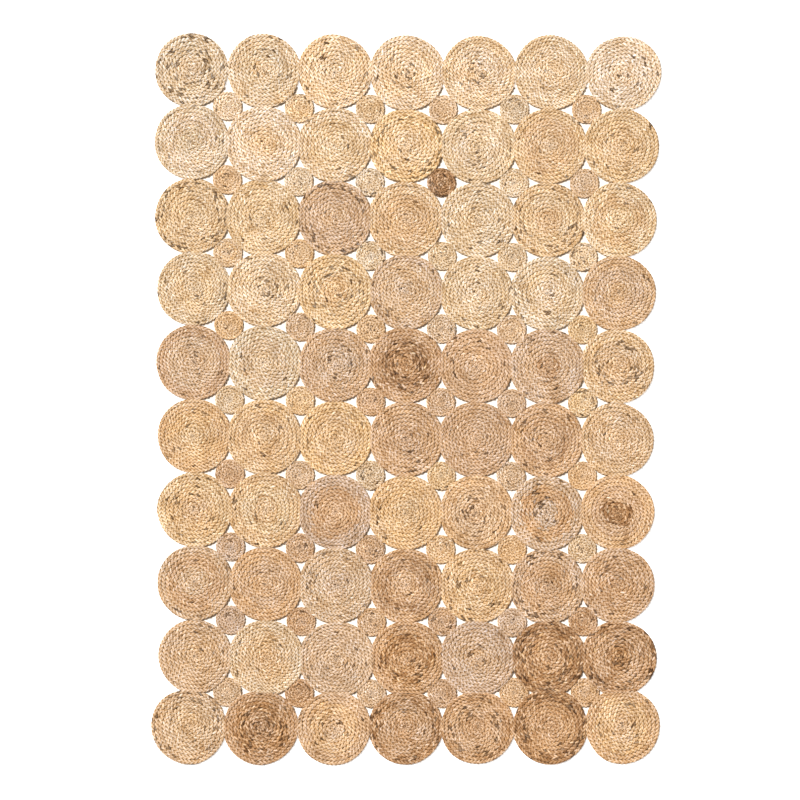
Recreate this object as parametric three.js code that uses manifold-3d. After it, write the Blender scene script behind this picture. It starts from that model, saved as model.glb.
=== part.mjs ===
// Rectangular jute rug, lying flat. Large round coils of three-strand braid are sewn side to side in
// straight rows, and a small coil of the same braid closes the middle of every four of them. Four
// three-cornered gaps stay open round each small coil.
// Sizes are in millimetres. +Z is up, +Y runs along the rug's length, and the origin lies on the floor
// under the rug's middle.

import * as THREE from "three";
import { mergeVertices } from "three/addons/utils/BufferGeometryUtils.js";
import Module from "manifold-3d";

// The braid, seen as a slab: its thickness, and how far its rounded rim reaches in and down.
const BRAID_THICKNESS = 10;
const RIM_REACH = 3;
const RIM_DROP = 3.5;

// The coils before they are pressed together.
const LARGE_RADIUS = 117.5;
const SMALL_RADIUS = 46;
const LARGE_SIDES = 24;
const SMALL_SIDES = 14;

// Hand work: how much one coil differs from the next in radius, in place and in roundness.
const RADIUS_SPREAD = 0.014;
const PLACE_SPREAD = 2;
const LOBES = [
  { waves: 2, depth: 0.009 },
  { waves: 3, depth: 0.007 },
  { waves: 5, depth: 0.004 },
];

// Coils with less than SEWN_ACROSS between them are sewn together. The stitches press each flat by at
// least LEAST_PRESS, and pull it out over PULL_ANGLE, in radians, where it would be too small. Coils of
// one strip then sink into each other by STITCH_BITE, and strips are parted by ROW_SEAM.
const SEWN_ACROSS = 12;
const LEAST_PRESS = 2.2;
const PULL_ANGLE = 0.4;
const STITCH_BITE = 0.1;
const ROW_SEAM = 0.3;

// The rows, from the rug's far end to its near end: how many there are, how far up the rug the first one
// lies, and how far apart they are sewn. The last row is sewn on closer than the others.
const COILS_IN_ROW = 7;
const ROWS = 10;
const FIRST_ROW = 1029;
const ROW_PITCH = 230;
const LAST_ROW_CLOSER = 14;

// The rug's long sides at its first row, half way, and at its last row but one. They draw in where the
// rows were pulled tighter. The last row reaches out past them.
const LEFT_SIDE = { far: -790, middle: -782, near: -777 };
const RIGHT_SIDE = { far: 802, middle: 783, near: 787 };
const LAST_ROW = { left: -798, right: 800 };

// Hand-sewn rows sag in the middle and lean: how far their left end lies up the rug from their right one,
// at the first row, half way and at the last.
const ROW_SAG = 4;
const ROW_LEAN = { far: 10, middle: 14, near: -5 };

// The rug is braided from pale straw jute first, then golden, then tan.
const STRAW = { colour: 0xd8c298, upToRow: 3 };
const GOLDEN = { colour: 0xcda874, upToRow: 6 };
const TAN = { colour: 0xcdac80, upToRow: ROWS };

// What a coil draws by chance, each from its own seed plus one of these. Every lobe takes a new one.
const DRAW = { across: 0.1, along: 0.2, radius: 0.3, turn: 0.4, lobe: 0.5 };
const NEXT_LOBE = 0.1;
const FIRST_SMALL_SEED = 500;

// A number from 0 to 1 that looks random but is the same on every run: the digits of a steep sine.
function chance(seed) {
  const wave = Math.sin(seed * 12.9898) * 43758.5453;
  return wave - Math.floor(wave);
}

// The same, from -1 to 1.
function sway(seed) {
  return 2 * chance(seed) - 1;
}

// A coil: its centre, its free radius, the seed of its own unevenness, and the strip it is sewn into.
function makeCoil(x, y, radius, sides, seed, strip) {
  return {
    x: x + PLACE_SPREAD * sway(seed + DRAW.across),
    y: y + PLACE_SPREAD * sway(seed + DRAW.along),
    radius: radius * (1 + RADIUS_SPREAD * sway(seed + DRAW.radius)),
    sides,
    seed,
    strip,
  };
}

// A smooth curve from start through middle to end, as across runs from 0 to 1.
function bow(across, start, middle, end) {
  const fromStart = (1 - across) * (1 - 2 * across) * start;
  const fromMiddle = 4 * across * (1 - across) * middle;
  const fromEnd = across * (2 * across - 1) * end;
  return fromStart + fromMiddle + fromEnd;
}

// One row: its outer edges, how far up the rug its middle lies, and how far it leans.
function makeRow(strip) {
  const last = strip === ROWS - 1;
  const downSides = strip / (ROWS - 2);
  const left = last ? LAST_ROW.left : bow(downSides, LEFT_SIDE.far, LEFT_SIDE.middle, LEFT_SIDE.near);
  const right = last
    ? LAST_ROW.right
    : bow(downSides, RIGHT_SIDE.far, RIGHT_SIDE.middle, RIGHT_SIDE.near);
  const up = FIRST_ROW - ROW_PITCH * strip + (last ? LAST_ROW_CLOSER : 0);
  const lean = bow(strip / (ROWS - 1), ROW_LEAN.far, ROW_LEAN.middle, ROW_LEAN.near);
  return { left, right, up, lean };
}

function largeCoils() {
  return Array.from({ length: ROWS * COILS_IN_ROW }, (_, at) => {
    const strip = Math.floor(at / COILS_IN_ROW);
    const row = makeRow(strip);
    const across = (at % COILS_IN_ROW) / (COILS_IN_ROW - 1);
    const end = row.up + ROW_SAG;
    const x = THREE.MathUtils.lerp(row.left + LARGE_RADIUS, row.right - LARGE_RADIUS, across);
    const y = bow(across, end + row.lean / 2, row.up, end - row.lean / 2);
    return makeCoil(x, y, LARGE_RADIUS, LARGE_SIDES, at + 1, strip);
  });
}

// A small coil sits in the middle of four large ones, and is sewn to the row beyond it.
function smallCoils(large) {
  const coils = [];
  for (let strip = 0; strip + 1 < ROWS; strip += 1) {
    for (let column = 0; column + 1 < COILS_IN_ROW; column += 1) {
      const at = strip * COILS_IN_ROW + column;
      const round = [at, at + 1, at + COILS_IN_ROW, at + COILS_IN_ROW + 1].map((i) => large[i]);
      const x = round.reduce((sum, coil) => sum + coil.x, 0) / round.length;
      const y = round.reduce((sum, coil) => sum + coil.y, 0) / round.length;
      const seed = FIRST_SMALL_SEED + at;
      coils.push(makeCoil(x, y, SMALL_RADIUS, SMALL_SIDES, seed, strip));
    }
  }
  return coils;
}

// A coil's free reach in one direction: a circle with a few shallow lobes.
function freeReach(coil, angle) {
  const bulge = LOBES.reduce((sum, lobe, k) => {
    const turn = 2 * Math.PI * chance(coil.seed + DRAW.lobe + NEXT_LOBE * k);
    return sum + lobe.depth * Math.cos(lobe.waves * angle + turn);
  }, 0);
  return coil.radius * (1 + bulge);
}

// Where two coils are sewn: the straight line through the points where their free circles cross. toward
// is its unit normal, angle that normal's direction, and far how far from the coil's centre it lies.
function seamWith(coil, other) {
  const toward = new THREE.Vector2(other.x - coil.x, other.y - coil.y);
  const apart = toward.length();
  const far = (apart ** 2 + coil.radius ** 2 - other.radius ** 2) / (2 * apart);
  const bite = other.strip === coil.strip ? STITCH_BITE : -ROW_SEAM / 2;
  return { toward: toward.divideScalar(apart), angle: toward.angle(), far: far + bite };
}

// The outline before it is pressed. Where a coil would fall short of a seam, the stitches pull it out.
function pulledOutline(coil, seams) {
  return Array.from({ length: coil.sides }, (_, i) => {
    const angle = (2 * Math.PI * (i + chance(coil.seed + DRAW.turn))) / coil.sides;
    const pull = seams.reduce((sum, seam) => {
      const short = Math.max(0, seam.far + LEAST_PRESS - freeReach(coil, seam.angle));
      const aside = Math.atan2(Math.sin(angle - seam.angle), Math.cos(angle - seam.angle));
      return sum + short * Math.exp(-((aside / PULL_ANGLE) ** 2));
    }, 0);
    const reach = freeReach(coil, angle) + pull;
    return new THREE.Vector2(reach * Math.cos(angle), reach * Math.sin(angle));
  });
}

// Cuts an outline along a straight line, and keeps the side towards its centre. toward is the line's
// unit normal, and far is how far from the centre it lies.
function pressFlat(outline, toward, far) {
  const pressed = [];
  outline.forEach((point, i) => {
    const next = outline[(i + 1) % outline.length];
    const over = point.dot(toward) - far;
    const nextOver = next.dot(toward) - far;
    if (over <= 0) pressed.push(point);
    const crosses = over * nextOver < 0;
    if (crosses) pressed.push(point.clone().lerp(next, over / (over - nextOver)));
  });
  return pressed;
}

// The outline that a coil keeps among its neighbours.
function sewnOutline(coil, neighbours) {
  const seams = neighbours.map((other) => seamWith(coil, other));
  const press = (outline, seam) => pressFlat(outline, seam.toward, seam.far);
  return seams.reduce(press, pulledOutline(coil, seams));
}

function touching(coil, coils) {
  const reach = (other) => coil.radius + other.radius + SEWN_ACROSS;
  const near = (other) => Math.hypot(other.x - coil.x, other.y - coil.y) < reach(other);
  return coils.filter((other) => other !== coil && near(other));
}

// One coil as a closed slab: a flat underside, an upright edge, a rim that rounds over, a flat top.
function coilGeometry(coil, outline) {
  const levels = [
    { height: 0, inset: 0 },
    { height: BRAID_THICKNESS - RIM_DROP, inset: 0 },
    { height: BRAID_THICKNESS, inset: RIM_REACH },
  ];
  const sides = outline.length;
  const points = levels.flatMap(({ height, inset }) =>
    outline.flatMap((point) => {
      const kept = 1 - inset / point.length();
      return [coil.x + kept * point.x, coil.y + kept * point.y, height];
    }),
  );
  const faces = [];
  for (let level = 0; level + 1 < levels.length; level += 1) {
    for (let i = 0; i < sides; i += 1) {
      const here = level * sides + i;
      const beside = level * sides + ((i + 1) % sides);
      faces.push(here, beside, beside + sides);
      faces.push(here, beside + sides, here + sides);
    }
  }
  const top = (levels.length - 1) * sides;
  for (const [a, b, c] of THREE.ShapeUtils.triangulateShape(outline, [])) {
    faces.push(a, c, b);
    faces.push(top + a, top + b, top + c);
  }
  const geometry = new THREE.BufferGeometry();
  geometry.setAttribute("position", new THREE.Float32BufferAttribute(points, 3));
  geometry.setIndex(faces);
  return geometry;
}

const wasm = await Module();
wasm.setup();

function toSolid(geometry) {
  const merged = mergeVertices(geometry);
  return new wasm.Manifold(
    new wasm.Mesh({
      numProp: 3,
      vertProperties: merged.getAttribute("position").array,
      triVerts: new Uint32Array(merged.index.array),
    }),
  );
}

function toGeometry(solid) {
  const { vertProperties, triVerts, numProp } = solid.getMesh();
  const geometry = new THREE.BufferGeometry();
  const points = new THREE.BufferAttribute(vertProperties, numProp);
  geometry.setAttribute("position", points);
  geometry.setIndex(new THREE.BufferAttribute(triVerts, 1));
  return geometry;
}

// A strip of the rug: one row of large coils and the small coils on its near side, sewn into one slab.
function stripMesh(strip, coils) {
  const solid = coils
    .filter((coil) => coil.strip === strip)
    .map((coil) => toSolid(coilGeometry(coil, sewnOutline(coil, touching(coil, coils)))))
    .reduce((joined, next) => joined.add(next));
  const { colour } = [STRAW, GOLDEN, TAN].find((jute) => strip < jute.upToRow);
  const jute = new THREE.MeshStandardMaterial({ color: colour, roughness: 0.95, metalness: 0 });
  const mesh = new THREE.Mesh(toGeometry(solid), jute);
  mesh.name = `coil_row_${String(strip + 1).padStart(2, "0")}`;
  return mesh;
}

const large = largeCoils();
const coils = [...large, ...smallCoils(large)];
const group = new THREE.Group();
for (let strip = 0; strip < ROWS; strip += 1) group.add(stripMesh(strip, coils));

// The origin goes under the middle of the whole rug.
const middle = new THREE.Box3().setFromObject(group).getCenter(new THREE.Vector3());
group.position.set(-middle.x, -middle.y, 0);

export default group;
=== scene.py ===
"""A rectangular jute rug that lies flat: seventy large round coils of three-strand braid, sewn side to
side in ten rows of seven, and a small coil of a thinner braid in the middle of every four of them."""

import bpy
import numpy as np
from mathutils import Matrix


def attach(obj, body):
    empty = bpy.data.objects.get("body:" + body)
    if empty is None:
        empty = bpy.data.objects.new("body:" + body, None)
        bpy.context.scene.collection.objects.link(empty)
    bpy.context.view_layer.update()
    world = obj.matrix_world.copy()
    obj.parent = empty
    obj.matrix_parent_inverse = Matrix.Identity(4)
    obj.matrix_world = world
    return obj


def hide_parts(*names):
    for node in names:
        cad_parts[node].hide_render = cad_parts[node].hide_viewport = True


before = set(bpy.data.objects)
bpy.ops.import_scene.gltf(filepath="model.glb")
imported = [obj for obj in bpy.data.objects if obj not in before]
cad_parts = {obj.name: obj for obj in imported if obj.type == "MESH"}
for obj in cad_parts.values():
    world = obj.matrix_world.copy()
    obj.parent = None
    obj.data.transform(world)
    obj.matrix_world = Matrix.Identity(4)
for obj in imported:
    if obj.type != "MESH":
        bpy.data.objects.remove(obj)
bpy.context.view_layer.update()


# The camera looks straight down at the rug through a long lens. The rug lies a little to the right of
# the middle of the frame.
FRAME_PIXELS = 800
FLOOR_IN_A_PIXEL = 0.00314
RUG_MIDDLE_PIXEL = (406.25, 399.25)
CAMERA_HEIGHT = 12.0

lens = bpy.data.cameras.new("camera")
lens.lens = lens.sensor_width * CAMERA_HEIGHT / (FRAME_PIXELS * FLOOR_IN_A_PIXEL)
camera = bpy.data.objects.new("camera", lens)
camera.location = (
    (FRAME_PIXELS / 2 - RUG_MIDDLE_PIXEL[0]) * FLOOR_IN_A_PIXEL,
    (RUG_MIDDLE_PIXEL[1] - FRAME_PIXELS / 2) * FLOOR_IN_A_PIXEL,
    CAMERA_HEIGHT,
)
bpy.context.scene.collection.objects.link(camera)
bpy.context.scene.camera = camera


# The coils' places. Each coil is wound by hand, so no two are quite as round or as large, and the rows
# sag and lean a little. Where two coils are sewn together, the stitches press both of them flat.
COILS_IN_ROW = 7
LARGE_RADIUS = 0.1175
SMALL_RADIUS = 0.046
RADIUS_SPREAD = 0.014
PLACE_SPREAD = 0.002

# The rows from the far end to the near end. The last one is sewn on closer, and reaches out past the
# sides. Sides are given at the first row, half way and at the last row but one, and the lean, from a
# row's right end up to its left one, at the first row, half way and at the last.
ROWS = 10
FIRST_ROW = 1.029
ROW_PITCH = 0.230
LAST_ROW_CLOSER = 0.014
LEFT_SIDE = (-0.790, -0.782, -0.777)
RIGHT_SIDE = (0.802, 0.783, 0.787)
LAST_ROW_ENDS = (-0.798, 0.800)
ROW_SAG = 0.004
ROW_LEAN = (0.010, 0.014, -0.005)

# What a coil draws by chance, each from its own seed plus one of these. A coil's second and third wave
# share theirs with its plait and its spin.
DRAW = {
    "across": 0.1,
    "along": 0.2,
    "radius": 0.3,
    "wave": 0.5,
    "plait": 0.6,
    "spin": 0.7,
    "turns": 0.8,
    "start": 0.9,
}
NEXT_WAVE = 0.1
FIRST_SMALL_SEED = 500
SINE_WAVES = 12.9898
SINE_HEIGHT = 43758.5453


def chance(seed):
    """A number from 0 to 1 that is the same on every run: what follows the point in a steep sine."""
    wave = np.sin(seed * SINE_WAVES) * SINE_HEIGHT
    return wave - np.floor(wave)


def bow(across, start, middle, end):
    """The parabola that passes through start, middle and end as across goes from 0 to 1."""
    from_start = (1 - across) * (1 - 2 * across) * start
    from_end = across * (2 * across - 1) * end
    return from_start + 4 * across * (1 - across) * middle + from_end


def large_places():
    """Centres of the large coils: evenly spaced between the sides, which are parabolas down the rug, on
    rows that are parabolas too, as they sag by ROW_SAG in the middle and lean."""
    row, column = np.divmod(np.arange(ROWS * COILS_IN_ROW), COILS_IN_ROW)
    last = row == ROWS - 1
    left = np.where(last, LAST_ROW_ENDS[0], bow(row / (ROWS - 2), *LEFT_SIDE))
    right = np.where(last, LAST_ROW_ENDS[1], bow(row / (ROWS - 2), *RIGHT_SIDE))
    up = FIRST_ROW - ROW_PITCH * row + LAST_ROW_CLOSER * last
    lean = bow(row / (ROWS - 1), *ROW_LEAN)
    across = column / (COILS_IN_ROW - 1)
    x = left + LARGE_RADIUS + across * (right - left - 2 * LARGE_RADIUS)
    y = bow(across, up + ROW_SAG + lean / 2, up, up + ROW_SAG - lean / 2)
    return np.column_stack([x, y]), row, column, row * COILS_IN_ROW + column + 1


def small_places(large):
    """Centres of the small coils: the mean of the four large coils round each one."""
    grid = large.reshape(ROWS, COILS_IN_ROW, 2)
    middles = (grid[:-1, :-1] + grid[:-1, 1:] + grid[1:, :-1] + grid[1:, 1:]) / 4
    row, column = np.divmod(np.arange(middles.size // 2), COILS_IN_ROW - 1)
    return middles.reshape(-1, 2), row, column, FIRST_SMALL_SEED + row * COILS_IN_ROW + column


def nudged(centres, seeds):
    """Centres moved by up to PLACE_SPREAD each way, by two chances from each coil's seed."""
    ways = np.column_stack([chance(seeds + DRAW["across"]), chance(seeds + DRAW["along"])])
    return centres + PLACE_SPREAD * (2 * ways - 1)


# How uneven a coil's outline is: the number of waves round it, and their depth as a share of its radius.
# The outline is worked out every half degree.
OUTLINE_WAVES = ((2, 0.009), (3, 0.007), (5, 0.004))
OUTLINE_STEPS = 720
ROUND_ABOUT = np.linspace(0, 2 * np.pi, OUTLINE_STEPS + 1)


def free_reach(coil, angle):
    """A coil's reach before it is sewn: its radius times one plus a few shallow cosine waves."""
    reach = np.ones_like(angle)
    for k, (waves, depth) in enumerate(OUTLINE_WAVES):
        turned = 2 * np.pi * chance(seeds[coil] + DRAW["wave"] + NEXT_WAVE * k)
        reach = reach + depth * np.cos(waves * angle + turned)
    return radii[coil] * reach


# Coils with less than SEWN_ACROSS between them are sewn together. Each is pressed by at least LEAST_PRESS
# and pulled out over PULL_ANGLE, in radians, and the seam cuts only what faces it more than SEAM_FACING.
SEWN_ACROSS = 0.012
LEAST_PRESS = 0.0022
PULL_ANGLE = 0.4
SEAM_BITE = 0.0020
SEAM_FACING = 0.2


def sewn_reach(coil):
    """A sewn coil's reach all round: its free reach, pulled out towards each neighbour that it would
    not meet by a bell curve about that direction, and then cut straight, SEAM_BITE past the seam with
    each, so that the lobes of both run into each other and leave no gap."""
    way = places - places[coil]
    apart = np.hypot(*way.T)
    near = (apart > 0) & (apart < radii + radii[coil] + SEWN_ACROSS)
    seam_angle = np.arctan2(way[near, 1], way[near, 0])
    far = (apart[near] ** 2 + radii[coil] ** 2 - radii[near] ** 2) / (2 * apart[near])
    short = np.maximum(0, far + LEAST_PRESS - free_reach(coil, seam_angle))
    aside = ROUND_ABOUT[:, None] - seam_angle
    aside = np.arctan2(np.sin(aside), np.cos(aside))
    pull = (short * np.exp(-((aside / PULL_ANGLE) ** 2))).sum(1)
    towards = np.cos(aside)
    straight = (far + SEAM_BITE) / np.maximum(towards, SEAM_FACING)
    cut = np.where(towards > SEAM_FACING, straight, np.inf)
    return np.minimum(free_reach(coil, ROUND_ABOUT) + pull, cut.min(1))


large, large_rows, large_columns, large_seeds = large_places()
large = nudged(large, large_seeds)
small, small_rows, small_columns, small_seeds = small_places(large)
small = nudged(small, small_seeds)
places = np.concatenate([large, small])
rows = np.concatenate([large_rows, small_rows])
columns = np.concatenate([large_columns, small_columns])
seeds = np.concatenate([large_seeds, small_seeds]).astype(float)
radii = np.where(np.arange(len(places)) < len(large), LARGE_RADIUS, SMALL_RADIUS)
radii = radii * (1 + RADIUS_SPREAD * (2 * chance(seeds + DRAW["radius"]) - 1))
reaches = np.array([sewn_reach(coil) for coil in range(len(places))])

# The rug's middle lies over the origin, as in the frame.
rims = places[:, None] + reaches[..., None] * np.stack([np.cos(ROUND_ABOUT), np.sin(ROUND_ABOUT)], -1)
spread = rims.reshape(-1, 2)
places = places - (spread.min(0) + spread.max(0)) / 2


# Large coils. Each is one long flat braid of three jute strands, wound edge to edge from its eye and
# stitched through from turn to turn. Its outer end is thinned and tucked in along the rim.
BRAID_THICKNESS = 0.010
STRANDS = 3
LARGE_TURNS = (10, 11)
MORE_TURNS_SHARE = 0.35

# How long a lobe is on each side of the braid, and by what share that differs from coil to coil.
LARGE_PLAIT = 0.0124
PLAIT_SPREAD = 0.06

# The part of the first turn that is left out in the eye, where the braid starts, and the part of a turn
# over which the braid steps out by its own width near the rim.
EYE_START = 0.06
TUCK = 0.28


def wound(turn, turns, slack):
    """How far out the braid's outer edge lies after so many turns, as a share of the coil's reach. It
    climbs one braid's width a turn: evenly near the eye, but near the rim all at once over the first
    TUCK of each turn, so that the last turn follows the outline and closes on itself. The hand's slack
    and pull, given at even steps of the way, moves it a little in or out."""
    whole = np.floor(turn)
    part = turn - whole
    step = np.clip(part / TUCK, 0, 1)
    step = step * step * (3 - 2 * step)
    late = np.clip(whole / (turns - 1), 0, 1) ** 2
    share = np.clip((whole + part + (step - part) * late) / turns, 0, 1)
    inside = np.clip(np.minimum(share, 1 - share) * turns, 0, 1)
    return share + np.interp(turn / turns * len(slack), np.arange(len(slack)), slack) * inside / turns


# How far the eye lies off the middle, how oval the inner turns are, and how far the middle ones wobble,
# as shares of the coil's radius. Then the waves of that wobble, and how late the outline shows.
EYE_DRIFT = 0.02
EYE_OVAL = (0.04, 0.16)
TURN_WOBBLE = (0.01, 0.03)
WOBBLE_WAVES = 3
OUTLINE_POWER = 4


def laid(coil, share, angle, rng):
    """The place of a point at this share of the coil's reach in this direction. Near the eye the coil
    is a small oval off its middle, half way out it has three shallow waves, and it takes the outline's
    shape with the fourth power of the share."""
    eye = rng.normal(0, EYE_DRIFT, 2) * radii[coil]
    oval, tilt = rng.uniform(*EYE_OVAL), rng.uniform(0, np.pi)
    wobble, phase = rng.uniform(*TURN_WOBBLE), rng.uniform(0, 2 * np.pi)
    round_reach = radii[coil]
    reach = np.interp(angle % (2 * np.pi), ROUND_ABOUT, reaches[coil])
    out = share * (round_reach + (reach - round_reach) * share**OUTLINE_POWER)
    out = out * (1 + oval * (1 - np.minimum(share, 1)) ** 2 * np.cos(2 * (angle - tilt)))
    out = out * (1 + wobble * share * (1 - share) * np.cos(WOBBLE_WAVES * angle + phase))
    off = (1 - np.minimum(share, 1)) ** 2
    x = places[coil, 0] + eye[0] * off + out * np.cos(angle)
    y = places[coil, 1] + eye[1] * off + out * np.sin(angle)
    return x, y


# The steps that the braid's way is measured in, how much of one more TUCK its thinning end goes on for,
# and how the lobes crowd: down to CROWDED of their length, from CROWDED_WITHIN of the eye inwards.
WAY_STEPS = 6000
TUCK_KEPT = 0.9
CROWDED = 0.35
CROWDED_WITHIN = 0.02
ROWS_IN_LOBE = 2


def braid_rows(coil, turns, plait, slack):
    """Turn counts along the middle of the braid, the length wound by each, even steps of that length,
    ROWS_IN_LOBE to a lobe, and the number of lobes. A piece of the way is its part of a whole turn at
    its distance from the eye. Near the eye it counts as longer, so that the lobes crowd there."""
    turn = np.linspace(EYE_START, turns + TUCK_KEPT * TUCK, WAY_STEPS)
    middle = (wound(turn, turns, slack) + wound(turn - 1, turns, slack)) / 2
    pieces = np.diff(turn) * 2 * np.pi * radii[coil] * (middle[1:] + middle[:-1]) / 2
    crowding = np.clip(middle[1:] * radii[coil] / CROWDED_WITHIN, CROWDED, 1)
    length = np.concatenate([[0.0], np.cumsum(pieces / crowding)])
    lobes = int(round(length[-1] / plait))
    along = np.linspace(0, length[-1], ROWS_IN_LOBE * lobes + 1)
    return turn, length, along, lobes


# The seven points round the braid, from its left edge over the top to its right edge and back below, in
# half widths. The middle one sways towards the lobe that is lower.
SECTION = np.array([-1.0, -0.55, 0.0, 0.55, 1.0, 0.35, -0.35])
MIDDLE_SWAY = 0.25

# How far a row's middle leads its edges, in half widths. Within TIGHT_WITHIN of the eye it is less, down
# to LEAST_LEAN of that.
LEAN = 1.0
TIGHT_WITHIN = 0.03
LEAST_LEAN = 0.3

# What the hand does: pulls in a turn and their strength in turns, how full the lobes are, and how far the
# thickness strays from turn to turn. Four coils in five are wound one way.
PULLS_IN_TURN = 9
SLACK = 0.05
FULLNESS_SPREAD = 0.3
FULLNESS = (0.3, 1.5)
THICKNESS_SPREAD = 0.03
WOUND_ONE_WAY = 0.8

# How far a mean lobe swells past the braid's edge, how far the edge itself goes past the line between two
# turns, and how much further the inner edge does at the eye, over EYE_REACH. The rim, past AT_RIM of the
# reach, is trimmed.
LOBE_SWELL = 0.0007
TURN_LAP = 0.00005
EYE_LAP = 0.0030
EYE_REACH = 0.012
RIM_TRIM = 0.0010
AT_RIM = 0.999

# Heights as shares of the thickness: between lobes at an edge and half way in from it, what a mean lobe
# adds to each, the middle of the top, the underside between lobes, and the inner edge's gain at the eye.
EDGE_HEIGHT = 0.58
EDGE_LIFT = 0.26
CREST_HEIGHT = 0.66
CREST_LIFT = 0.29
MIDDLE_HEIGHT = 0.80
UNDER_HEIGHT = 0.06
EYE_LIFT = 0.2


def braid_points(coil, turns, plait, thickness, rng):
    """The braid's surface on a grid of rows along it and seven points round it. A row runs slantwise
    from both edges to a point ahead at the middle. On each side every second row is the crest of a lobe,
    which lifts the top, pushes out the edge and rests on the floor. Right crests lie between left ones.
    Each turn laps a little over the one inside it, and more by a bell curve near the eye."""
    slack = SLACK * rng.normal(0, 1, PULLS_IN_TURN * turns)
    turn, length, along, lobes = braid_rows(coil, turns, plait, slack)
    row = np.arange(len(along))
    start = np.interp(along, length, turn)
    inner, outer = wound(start - 1, turns, slack), wound(start, turns, slack)
    half_width = (outer - inner) * radii[coil] / 2
    tight = np.clip((inner + outer) / 2 * radii[coil] / TIGHT_WITHIN, LEAST_LEAN, 1)
    lean = (half_width * tight)[:, None] * LEAN * (1 - np.abs(SECTION))
    ahead = np.minimum(along[:, None] + lean, length[-1])
    at = np.interp(ahead, length, turn)

    full = np.clip(rng.normal(1, FULLNESS_SPREAD, len(row)), *FULLNESS)
    left = full * (row % ROWS_IN_LOBE)
    right = full * ((row + 1) % ROWS_IN_LOBE)
    stray = np.interp(at, np.arange(turns + 2), rng.normal(0, 1, turns + 2))
    swell = 1 + THICKNESS_SPREAD * stray

    across = np.tile(SECTION, (len(row), 1))
    across[:, 2] = MIDDLE_SWAY * (left - right)
    inner, outer = wound(at - 1, turns, slack), wound(at, turns, slack)
    share = inner + (outer - inner) * (across + 1) / 2
    push = np.zeros_like(share)
    at_eye = np.exp(-((inner[:, 0] * radii[coil] / EYE_REACH) ** 2))
    push[:, 0] = -(LOBE_SWELL * left + TURN_LAP + EYE_LAP * at_eye)
    push[:, 4] = LOBE_SWELL * right + TURN_LAP - RIM_TRIM * (outer[:, 4] > AT_RIM)
    share = np.maximum(share + push / radii[coil], 0)

    # The inner edge gains its height within half a braid's width of the eye.
    from_eye = 2 * turns * inner[:, 0]
    height = np.empty_like(share)
    height[:, 0] = EDGE_HEIGHT + EDGE_LIFT * left + EYE_LIFT * np.clip(1 - from_eye, 0, 1)
    height[:, 1] = CREST_HEIGHT + CREST_LIFT * left
    height[:, 2] = MIDDLE_HEIGHT
    height[:, 3] = CREST_HEIGHT + CREST_LIFT * right
    height[:, 4] = EDGE_HEIGHT + EDGE_LIFT * right
    height[:, 5] = UNDER_HEIGHT * np.maximum(1 - right, 0)
    height[:, 6] = UNDER_HEIGHT * np.maximum(1 - left, 0)
    height = np.minimum(height * swell, 1) * thickness

    spin = 1 if chance(seeds[coil] + DRAW["spin"]) < WOUND_ONE_WAY else -1
    angle = 2 * np.pi * chance(seeds[coil] + DRAW["start"]) + spin * 2 * np.pi * (at - turns)
    x, y = laid(coil, share, angle, rng)
    return np.stack([x, y, height], -1), lobes, spin, share


# Jute comes from the retting pond in lots of its own colour, and the braiders take what is at hand. These
# are loose strands in daylight, from the palest lot to the darkest.
LOTS = {
    "bleached": (225, 200, 175),
    "straw": (215, 190, 160),
    "golden": (210, 180, 150),
    "tan": (200, 170, 145),
    "brown": (185, 150, 120),
    "dark brown": (155, 120, 90),
}
TAN = list(LOTS).index("tan")
BROWN = list(LOTS).index("brown")
BARK = (60, 38, 22)

# How far along LOTS the jute is at the rug's far end, half way and at its near end, how far a coil and a
# zone of a coil stray from that, and the share of zones there that still have flecks of bark in them.
ROW_LOT = (0.9, 2.1, 2.8)
COIL_STRAY = 1.1
ZONE_STRAY = 0.5
FLECKED_SHARE = (0.25, 0.08, 0.15)

# How far a coil and a zone of it stray towards golden or towards grey, and how mixed the strands of a
# brown braid are, in lots for each lot past tan.
COIL_WARMTH = 1.9
ZONE_WARMTH = 1.2
BROWN_MIX = 0.7

# The few coils that stand out: a bleached one, brown ones, and a tan one with a brown heart.
STAND_OUT = {
    "large_coil_r04_c2": (0.5, 0.5, 0.5),
    "large_coil_r05_c4": (3.5, 4.5, 4.0),
    "large_coil_r07_c7": (2.5, 3.0, 5.0),
    "large_coil_r09_c6": (4.5, 4.0, 3.5),
    "small_coil_r02_c4": (4.5, 4.5, 4.5),
}
FIRST_LOT_SEED = 1000
SCREEN_POWER = 2.2


def coil_lots(name, coil, zone_stray):
    """How far along LOTS the outer turns, middle turns and heart of a coil are, how warm they are, and
    which have flecks. The lot is the parabola through the rug's three lots, moved by one chance a coil
    and one a zone, and the warmth is such a move by itself. Brown jute is never a grey one, and the
    darkest always has flecks."""
    rng = np.random.default_rng(FIRST_LOT_SEED + int(seeds[coil]))
    down_the_rug = 0.5 - places[coil, 1] / np.ptp(places[:, 1])
    lots = bow(down_the_rug, *ROW_LOT) + COIL_STRAY * rng.uniform(-1, 1)
    lots = lots + zone_stray * rng.uniform(-1, 1, 3)
    lots = np.clip(STAND_OUT.get(name, lots), 0, len(LOTS) - 1)
    flecks = (rng.random(3) < bow(down_the_rug, *FLECKED_SHARE)) | (lots > BROWN)
    warmth = COIL_WARMTH * rng.uniform(-1, 1) + ZONE_WARMTH * rng.uniform(-1, 1, 3)
    warmth = np.where(lots > TAN, np.abs(warmth), warmth)
    return lots, warmth, flecks


def linear(colour):
    """A screen colour out of 255 as light: each part to the power SCREEN_POWER."""
    return (np.asarray(colour) / 255) ** SCREEN_POWER


# Clouds of colour: how many waves they are summed from, and their shortest and longest length.
CLOUD_WAVES = 6
CLOUD_LENGTH = (0.06, 0.16)


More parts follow.
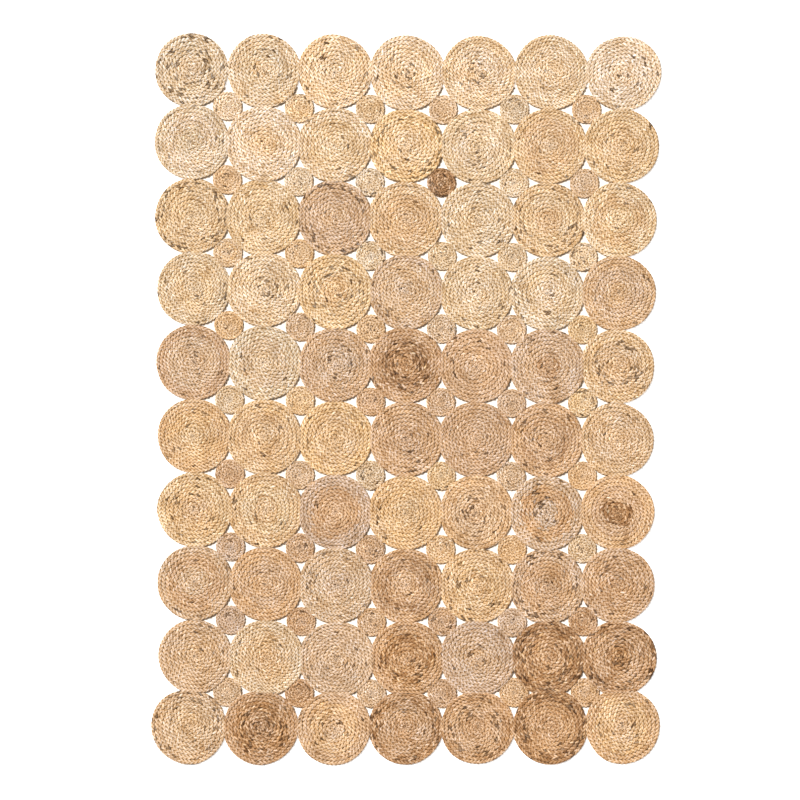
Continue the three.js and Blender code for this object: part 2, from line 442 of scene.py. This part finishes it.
def cloud(spots, rng):
    """Soft patches about a hand wide: the sum of six plane waves of chance direction and length, divided
    by its root mean square."""
    way = rng.uniform(0, 2 * np.pi, CLOUD_WAVES)
    wave = 2 * np.pi / rng.uniform(*CLOUD_LENGTH, CLOUD_WAVES)
    start = rng.uniform(0, 2 * np.pi, CLOUD_WAVES)
    waves = spots @ np.stack([np.cos(way), np.sin(way)]) * wave + start
    return np.cos(waves).sum(1) / np.sqrt(CLOUD_WAVES / 2)


# Where the heart and the middle turns end, as shares of the reach, how far that differs from coil to
# coil, and how far lobes stray into the next zone in clouds and one by one.
ZONE_ENDS = (0.34, 0.68)
ZONE_END_SPREAD = 0.03
ZONE_CLOUD = 0.03
ZONE_NOISE = 0.05

# A strand's drift has a new value every DRIFT_LOBES lobes, up to DRIFT_PAST_END past the last.
DRIFT_LOBES = 36
DRIFT_PAST_END = 40

# How much clouds, drift and each lobe by itself change light and warmth, and what these two do to red,
# green and blue: light as powers of it, and warmth as a share for each unit.
LIGHT_FROM = {"cloud": 0.05, "drift": 0.03, "lobe": 0.16}
LIGHT_LIMITS = (0.5, 1.5)
LIGHT_POWERS = (0.75, 1.0, 1.4)
WARMTH_FROM = {"cloud": 0.5, "drift": 0.5, "lobe": 0.7}
WARMTH_SHARES = (0.016, -0.005, -0.046)
COLOUR_LIMITS = (0.01, 0.95)

# The share of lobes that have bark, in a flecked zone and elsewhere, the chance that it runs on to the
# same strand's next lobe, and how much of a lobe it covers.
BARK_SHARE = {"flecked": 0.12, "clean": 0.015}
BARK_RUNS_ON = 0.2
BARK_COVER = (0.5, 1.0)


def strand_drift(number, rng):
    """A slow change along each strand: straight lines between chance values DRIFT_LOBES apart."""
    knots = np.arange(0, len(number) + DRIFT_PAST_END, DRIFT_LOBES)
    drift = np.array([np.interp(number, knots, rng.normal(0, 1, len(knots))) for _ in range(STRANDS)])
    return drift[number % STRANDS, number]


def braid_colours(lobes, lobe_places, lobe_share, lots, warmth, flecks, rng):
    """A colour for each lobe, left and right in turn. Its zone's lot is made lighter or darker, and
    warmer or greyer, by soft clouds, by a slow drift along its own strand and by chance. A brown lot is
    mixed from lobe to lobe, and bark shows in some lobes."""
    number = np.arange(2 * (lobes + 2))
    at = np.minimum(number // 2, len(lobe_share) - 1)
    share = lobe_share[at] + ZONE_CLOUD * cloud(lobe_places, rng)[at]
    share = share + rng.normal(0, ZONE_NOISE, len(number))
    heart = ZONE_ENDS[0] + rng.normal(0, ZONE_END_SPREAD)
    middle = ZONE_ENDS[1] + rng.normal(0, ZONE_END_SPREAD)
    zone = np.where(share < heart, 2, np.where(share < middle, 1, 0))
    strands = linear(list(LOTS.values()))
    mixed = lots[zone] + BROWN_MIX * np.maximum(lots[zone] - TAN, 0) * rng.normal(0, 1, len(number))
    colours = np.stack([np.interp(mixed, np.arange(len(LOTS)), part) for part in strands.T], -1)

    light_drift = strand_drift(number, rng)
    warm_drift = strand_drift(number, rng)
    light = 1 + LIGHT_FROM["cloud"] * cloud(lobe_places, rng)[at] + LIGHT_FROM["drift"] * light_drift
    light = light + LIGHT_FROM["lobe"] * rng.normal(0, 1, len(number))
    light = np.clip(light, *LIGHT_LIMITS)
    warm = warmth[zone] + WARMTH_FROM["cloud"] * cloud(lobe_places, rng)[at]
    warm = warm + WARMTH_FROM["drift"] * warm_drift
    warm = warm + WARMTH_FROM["lobe"] * rng.normal(0, 1, len(number))
    colours = colours * light[:, None] ** LIGHT_POWERS * (1 + np.outer(warm, WARMTH_SHARES))

    bark_share = np.where(flecks[zone], BARK_SHARE["flecked"], BARK_SHARE["clean"])
    bark = rng.random(len(number)) < bark_share
    bark = bark | (np.roll(bark, STRANDS) & (rng.random(len(number)) < BARK_RUNS_ON))
    cover = np.where(bark, rng.uniform(*BARK_COVER, len(number)), 0)
    return np.column_stack([np.clip(colours, *COLOUR_LIMITS), cover])


# The seven faces round the braid, from the left edge on: which belong to right lobes, which lie below,
# and which have rows that lean forward, so that they split along the other diagonal.
RIGHT_FACES = np.array([0, 0, 1, 1, 1, 1, 0])
FACES_BELOW = np.array([0, 0, 0, 0, 1, 1, 1])
FORWARD_FACES = [0, 1, 4]

# Where each face starts and ends on the Strand map: 0 is the middle of the top, 1 or -1 an edge, and 2 or
# -2 the middle below.
FACE_START = np.array([-1.0, -0.55, 0.0, 0.55, 1.0, 1.65, -1.65])
FACE_END = np.array([-0.55, 0.0, 0.55, 1.0, 1.65, 2.35, -1.0])

# The start and the width of the coil seen from above and from below on the OFBake map, and of both the
# other way.
MAP_ABOVE = (0.01, 0.68)
MAP_BELOW = (0.71, 0.28)
MAP_UP = (0.01, 0.98)


def coil_mesh(name, coil, turns, plait, thickness, zone_stray):
    """The braid's grid as a closed mesh, with its colours, and two maps. Strand counts lobes along the
    braid and goes from 0 at the middle of its top through 1 at an edge to 2 below. OFBake shows the
    coil from above, and beside it from below."""
    rng = np.random.default_rng(int(seeds[coil]))
    points, lobes, spin, share = braid_points(coil, turns, plait, thickness, rng)
    count, ring = points.shape[:2]
    at = np.arange(count * ring).reshape(count, ring)
    quads = np.stack([at[:-1], np.roll(at, -1, 1)[:-1], np.roll(at, -1, 1)[1:], at[1:]], -1)
    quads[:, FORWARD_FACES] = np.roll(quads[:, FORWARD_FACES], -1, -1)
    caps = np.stack([at[0, ::-1], at[-1]])
    if spin < 0:
        quads, caps = quads[..., ::-1], caps[:, ::-1]
    corners = np.concatenate([quads.ravel(), caps.ravel()])
    starts = np.concatenate([np.arange(quads.size // 4) * 4, quads.size + np.array([0, ring])])

    mesh = bpy.data.meshes.new(name)
    mesh.vertices.add(count * ring)
    mesh.vertices.foreach_set("co", points.ravel())
    mesh.loops.add(len(corners))
    mesh.loops.foreach_set("vertex_index", corners.astype(np.int32))
    mesh.polygons.add(len(starts))
    mesh.polygons.foreach_set("loop_start", starts.astype(np.int32))
    mesh.polygons.foreach_set("use_smooth", np.ones(len(starts), bool))

    step = np.arange(count - 1)
    left, right = 2 * (step // ROWS_IN_LOBE), 2 * ((step + 1) // ROWS_IN_LOBE) + 1
    lobe = np.where(RIGHT_FACES > 0, right[:, None], left[:, None])
    middles = points[::ROWS_IN_LOBE, 2, :2]
    lots, warmth, flecks = coil_lots(name, coil, zone_stray)
    colours = braid_colours(lobes, middles, share[::ROWS_IN_LOBE, 2], lots, warmth, flecks, rng)
    colours = colours[lobe.ravel()]
    colours = np.concatenate([colours, colours[:1], colours[-1:]])
    yarn = mesh.attributes.new("yarn", "FLOAT_COLOR", "FACE")
    yarn.data.foreach_set("color", colours.ravel())

    # A quad's corners are this row and the next, each at this point of the section and at the next.
    this = step[:, None] / ROWS_IN_LOBE - RIGHT_FACES / ROWS_IN_LOBE
    following = this + 1 / ROWS_IN_LOBE
    across = np.stack([FACE_START, FACE_END, FACE_END, FACE_START], -1)
    across = np.broadcast_to(across, (count - 1, ring, 4))
    strand = np.stack([np.stack([this, this, following, following], -1), across], -1)
    strand[:, FORWARD_FACES] = np.roll(strand[:, FORWARD_FACES], -1, -2)
    if spin < 0:
        strand = strand[:, :, ::-1]
    strand = np.concatenate([strand.reshape(-1, 2), np.zeros((2 * ring, 2))])
    mesh.uv_layers.new(name="Strand").data.foreach_set("uv", strand.ravel())

    low, high = points[..., :2].min((0, 1)), points[..., :2].max((0, 1))
    flat = (points.reshape(-1, 3)[corners, :2] - low) / (high - low)
    below = np.concatenate([np.tile(np.repeat(FACES_BELOW, 4), count - 1), np.zeros(2 * ring)])
    from_below = MAP_BELOW[0] + MAP_BELOW[1] * flat[:, 0]
    from_above = MAP_ABOVE[0] + MAP_ABOVE[1] * flat[:, 0]
    flat[:, 0] = np.where(below > 0, from_below, from_above)
    flat[:, 1] = MAP_UP[0] + MAP_UP[1] * flat[:, 1]
    mesh.uv_layers.new(name="OFBake").data.foreach_set("uv", flat.ravel())
    mesh.update(calc_edges=True)
    mesh.validate()
    return mesh


# The fibres: noise cells to a lobe along the braid and to half its width across it, their detail, and how
# strongly they show. Fibre noise runs from 0 to 1 about NOISE_MIDDLE.
FIBRE_CELLS = (13.0, 1.6, 1.0)
FIBRE_DETAIL = 3.0
FIBRE_COARSENESS = 0.65
NOISE_MIDDLE = 0.5
STREAK_LIGHT = 2.0

# How round a lobe is across, and the painted shade in the yarn's colour: how fast it darkens towards the
# creases, how much darker a lobe's sides are painted as though less lit, and what that painted shade does
# to red, green and blue, as powers of the light.
LOBE_SIDE_POWER = 0.2
CREASE_POWER = 1.5
SIDE_SHADE = 0.15
SHADE_POWERS = (("Red", 0.66), ("Green", 1.0), ("Blue", 1.75))

# Where along the noise the flecks of bark start and how sharply, and the least roughness and its span.
FLECK_START = 0.35
FLECK_SHARPNESS = 8.0
LEAST_ROUGHNESS = 0.62
ROUGHNESS_SPAN = 0.3


def jute_fibre_group():
    """Fibres, lobes and the creases between them, worked out on the Strand map. A lobe's height is a
    half circle along the braid times the fifth root of one across it. Fibres are streaks across the
    braid, on its slant, as a strand runs in a lobe. The colour carries painted shade: it darkens towards
    the creases and on a lobe's sides."""
    group = bpy.data.node_groups.new("Jute fibre", "ShaderNodeTree")
    face = group.interface
    face.new_socket("Yarn", in_out="INPUT", socket_type="NodeSocketColor")
    face.new_socket("Bark", in_out="INPUT", socket_type="NodeSocketFloat")
    face.new_socket("Strand", in_out="INPUT", socket_type="NodeSocketVector")
    for name, value in (("Streaks", 0.2), ("Crease Shade", 0.5), ("Fibre Relief", 0.3)):
        face.new_socket(name, in_out="INPUT", socket_type="NodeSocketFloat").default_value = value
    face.new_socket("Colour", in_out="OUTPUT", socket_type="NodeSocketColor")
    face.new_socket("Roughness", in_out="OUTPUT", socket_type="NodeSocketFloat")
    face.new_socket("Height", in_out="OUTPUT", socket_type="NodeSocketFloat")
    nodes, links = group.nodes, group.links
    given = nodes.new("NodeGroupInput")
    gives = nodes.new("NodeGroupOutput")

    def math(operation, a, b=0.0, c=0.0, clamp=False):
        """A Math node on sockets or plain numbers."""
        node = nodes.new("ShaderNodeMath")
        node.operation = operation
        node.use_clamp = clamp
        for socket, value in zip(node.inputs, (a, b, c)):
            if isinstance(value, bpy.types.NodeSocket):
                links.new(value, socket)
            else:
                socket.default_value = value
        return node.outputs[0]

    def half_circle(value):
        """The height of a half circle that spans 0 to 1."""
        side = math("MULTIPLY_ADD", math("FRACT", value), 2.0, -1.0)
        return math("SQRT", math("SUBTRACT", 1.0, math("MULTIPLY", side, side), clamp=True))

    parts = nodes.new("ShaderNodeSeparateXYZ")
    links.new(given.outputs["Strand"], parts.inputs[0])
    along = half_circle(parts.outputs["X"])
    side = half_circle(parts.outputs["Y"])
    lobe = math("MULTIPLY", along, math("POWER", side, LOBE_SIDE_POWER))

    stretched = nodes.new("ShaderNodeVectorMath")
    stretched.operation = "MULTIPLY"
    stretched.inputs[1].default_value = FIBRE_CELLS
    links.new(given.outputs["Strand"], stretched.inputs[0])
    fibre = nodes.new("ShaderNodeTexNoise")
    fibre.noise_dimensions = "2D"
    fibre.inputs["Scale"].default_value = 1.0
    fibre.inputs["Detail"].default_value = FIBRE_DETAIL
    fibre.inputs["Roughness"].default_value = FIBRE_COARSENESS
    links.new(stretched.outputs[0], fibre.inputs["Vector"])
    streak = math("MULTIPLY", math("SUBTRACT", fibre.outputs[0], NOISE_MIDDLE), given.outputs["Streaks"])

    # Painted shade: the yarn's colour is darkened towards the creases between lobes and on a lobe's
    # sides, and left lightest on its crest. The shade is tinted warm, and the fibre streaks ride on it.
    facing = math("MULTIPLY_ADD", side, SIDE_SHADE, 1 - SIDE_SHADE)
    crest = math("MULTIPLY", math("POWER", along, CREASE_POWER), facing)
    shade = math("MULTIPLY", math("SUBTRACT", 1.0, crest), given.outputs["Crease Shade"])
    light = math("ADD", math("SUBTRACT", 1.0, shade), math("MULTIPLY", streak, STREAK_LIGHT))
    shaded = nodes.new("ShaderNodeMix")
    shaded.data_type = "RGBA"
    shaded.blend_type = "MULTIPLY"
    shaded.inputs["Factor"].default_value = 1.0
    links.new(given.outputs["Yarn"], shaded.inputs[6])
    warm = nodes.new("ShaderNodeCombineColor")
    for name, power in SHADE_POWERS:
        links.new(math("POWER", light, power), warm.inputs[name])
    links.new(warm.outputs[0], shaded.inputs[7])
    flecked = nodes.new("ShaderNodeMix")
    flecked.data_type = "RGBA"
    links.new(shaded.outputs[2], flecked.inputs[6])
    flecked.inputs[7].default_value = (*linear(BARK), 1)
    fleck_offset = -FLECK_SHARPNESS * FLECK_START
    fleck = math("MULTIPLY_ADD", fibre.outputs[0], FLECK_SHARPNESS, fleck_offset, clamp=True)
    spot = math("MULTIPLY", fleck, given.outputs["Bark"])
    links.new(spot, flecked.inputs["Factor"])
    links.new(flecked.outputs[2], gives.inputs["Colour"])
    roughness = math("MULTIPLY_ADD", fibre.outputs[0], ROUGHNESS_SPAN, LEAST_ROUGHNESS)
    links.new(roughness, gives.inputs["Roughness"])
    relief = math("MULTIPLY", fibre.outputs[0], given.outputs["Fibre Relief"])
    links.new(math("ADD", lobe, relief), gives.inputs["Height"])
    return group


# What all the jute has alike: little gloss, a faint sheen, and how deep its finest relief is.
GLOSS = 0.15
SHEEN = 0.03
SHEEN_ROUGHNESS = 0.5
RELIEF_DEPTH = 0.0012


def jute_material(name, streaks, crease_shade, fibre_relief):
    """Matt jute with a faint silky sheen. The yarn's colour comes from the mesh, lobe by lobe."""
    material = bpy.data.materials.new(name)
    material.use_nodes = True
    nodes, links = material.node_tree.nodes, material.node_tree.links
    surface = nodes["Principled BSDF"]
    surface.inputs["Specular IOR Level"].default_value = GLOSS
    surface.inputs["Sheen Weight"].default_value = SHEEN
    surface.inputs["Sheen Roughness"].default_value = SHEEN_ROUGHNESS
    yarn = nodes.new("ShaderNodeAttribute")
    yarn.attribute_name = "yarn"
    strand = nodes.new("ShaderNodeUVMap")
    strand.uv_map = "Strand"
    fibre = nodes.new("ShaderNodeGroup")
    fibre.node_tree = bpy.data.node_groups["Jute fibre"]
    fibre.inputs["Streaks"].default_value = streaks
    fibre.inputs["Crease Shade"].default_value = crease_shade
    fibre.inputs["Fibre Relief"].default_value = fibre_relief
    bump = nodes.new("ShaderNodeBump")
    bump.inputs["Strength"].default_value = 1.0
    bump.inputs["Distance"].default_value = RELIEF_DEPTH
    links.new(yarn.outputs["Color"], fibre.inputs["Yarn"])
    links.new(yarn.outputs["Alpha"], fibre.inputs["Bark"])
    links.new(strand.outputs["UV"], fibre.inputs["Strand"])
    links.new(fibre.outputs["Colour"], surface.inputs["Base Color"])
    links.new(fibre.outputs["Roughness"], surface.inputs["Roughness"])
    links.new(fibre.outputs["Height"], bump.inputs["Height"])
    links.new(bump.outputs["Normal"], surface.inputs["Normal"])
    return material


# How many rows from the far end are mostly straw jute, and how many are mostly straw or golden.
STRAW_ROWS = 3
GOLDEN_ROWS = 6


def slot_of(row):
    """The jute that a row is mostly braided from: straw at the far end, then golden, then tan."""
    return "jute_straw" if row < STRAW_ROWS else "jute_golden" if row < GOLDEN_ROWS else "jute_tan"


def put_down(name, mesh, coil):
    """Puts a finished coil in the rug, with the jute material of its row, hangs it from the root and
    hides the row of coils in model.glb that it stands in for."""
    piece = bpy.data.objects.new(name, mesh)
    bpy.context.scene.collection.objects.link(piece)
    slot = slot_of(rows[coil])
    mesh.materials.append(materials[slot])
    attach(piece, "root")
    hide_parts(f"coil_row_{rows[coil] + 1:02d}")


jute_fibre_group()
materials = {
    "jute_straw": jute_material("straw jute", streaks=0.22, crease_shade=0.78, fibre_relief=0.30),
    "jute_golden": jute_material("golden jute", streaks=0.24, crease_shade=0.80, fibre_relief=0.30),
    "jute_tan": jute_material("tan jute", streaks=0.26, crease_shade=0.82, fibre_relief=0.35),
}
for coil in range(len(large)):
    name = f"large_coil_r{rows[coil] + 1:02d}_c{columns[coil] + 1}"
    turns = LARGE_TURNS[int(chance(seeds[coil] + DRAW["turns"]) < MORE_TURNS_SHARE)]
    longer = 2 * PLAIT_SPREAD * chance(seeds[coil] + DRAW["plait"])
    plait = LARGE_PLAIT * (1 - PLAIT_SPREAD + longer)
    put_down(name, coil_mesh(name, coil, turns, plait, BRAID_THICKNESS, ZONE_STRAY), coil)


# Small coils. They are wound in the same way from a thinner braid, five turns of it, and sewn into the
# middle of four large ones at the four points where they touch.
SMALL_PLAIT = 0.0100
SMALL_TURNS = 5
SMALL_THICKNESS = 0.0080

for coil in range(len(large), len(places)):
    name = f"small_coil_r{rows[coil] + 1:02d}_c{columns[coil] + 1}"
    put_down(name, coil_mesh(name, coil, SMALL_TURNS, SMALL_PLAIT, SMALL_THICKNESS, 0), coil)


# The floor is a plain white table that glows a little, as if lit from below, so that hardly any shadow
# shows round the rug. A sheet of paper lies between them, a little smaller than the rug, and shows in its
# gaps. Its buff tint is painted warm shade: where the lamp reaches it the paper shows near white, and in
# the shade beside the coils it is warm brown.
FLOOR_HALF = (40.0, 40.0)
FLOOR_LEVEL = -0.0004
FLOOR_GLOW = 0.6
PAPER_HALF = (0.66, 0.98)
PAPER_LEVEL = -0.0002
WHITE = (0.93, 0.93, 0.93, 1)
# Painted shade: the paper's buff tint makes the shadows in the rug's gaps warm brown, while in full light
# it shows near white.
WARM_SHADE_BUFF = (0.93, 0.86, 0.77, 1)
MATT = 0.9


def flat_sheet(name, half, height, colour, glow):
    """A rectangle of this half width and half length, with light of its own if glow is not 0."""
    x, y = half
    mesh = bpy.data.meshes.new(name)
    corners = [(-x, -y, height), (x, -y, height), (x, y, height), (-x, y, height)]
    mesh.from_pydata(corners, [], [(0, 1, 2, 3)])
    sheet = bpy.data.objects.new(name, mesh)
    bpy.context.scene.collection.objects.link(sheet)
    matt = bpy.data.materials.new(name)
    matt.use_nodes = True
    surface = matt.node_tree.nodes["Principled BSDF"]
    surface.inputs["Base Color"].default_value = colour
    surface.inputs["Roughness"].default_value = MATT
    surface.inputs["Specular IOR Level"].default_value = 0.0
    surface.inputs["Emission Color"].default_value = (1, 1, 1, 1)
    surface.inputs["Emission Strength"].default_value = glow
    mesh.materials.append(matt)


flat_sheet("white table", FLOOR_HALF, FLOOR_LEVEL, WHITE, FLOOR_GLOW)
flat_sheet("warm shade paper", PAPER_HALF, PAPER_LEVEL, WARM_SHADE_BUFF, 0.0)


# Soft studio light: one broad lamp high at the upper left of the frame, and pale light from all round.
# Angles are in degrees.
LAMP_STRENGTH = 5.35
LAMP_WIDTH = 20
LAMP_TILT = (-24, -28, 0)
ROOM_COLOUR = (1, 0.95, 0.88, 1)
ROOM_STRENGTH = 0.18

sun = bpy.data.lights.new("key", "SUN")
sun.energy = LAMP_STRENGTH
sun.angle = np.radians(LAMP_WIDTH)
key = bpy.data.objects.new("key", sun)
key.rotation_euler = np.radians(LAMP_TILT)
bpy.context.scene.collection.objects.link(key)

world = bpy.data.worlds.new("studio")
world.use_nodes = True
world.node_tree.nodes["Background"].inputs["Color"].default_value = ROOM_COLOUR
world.node_tree.nodes["Background"].inputs["Strength"].default_value = ROOM_STRENGTH
bpy.context.scene.world = world
bpy.context.scene.view_settings.view_transform = "Standard"
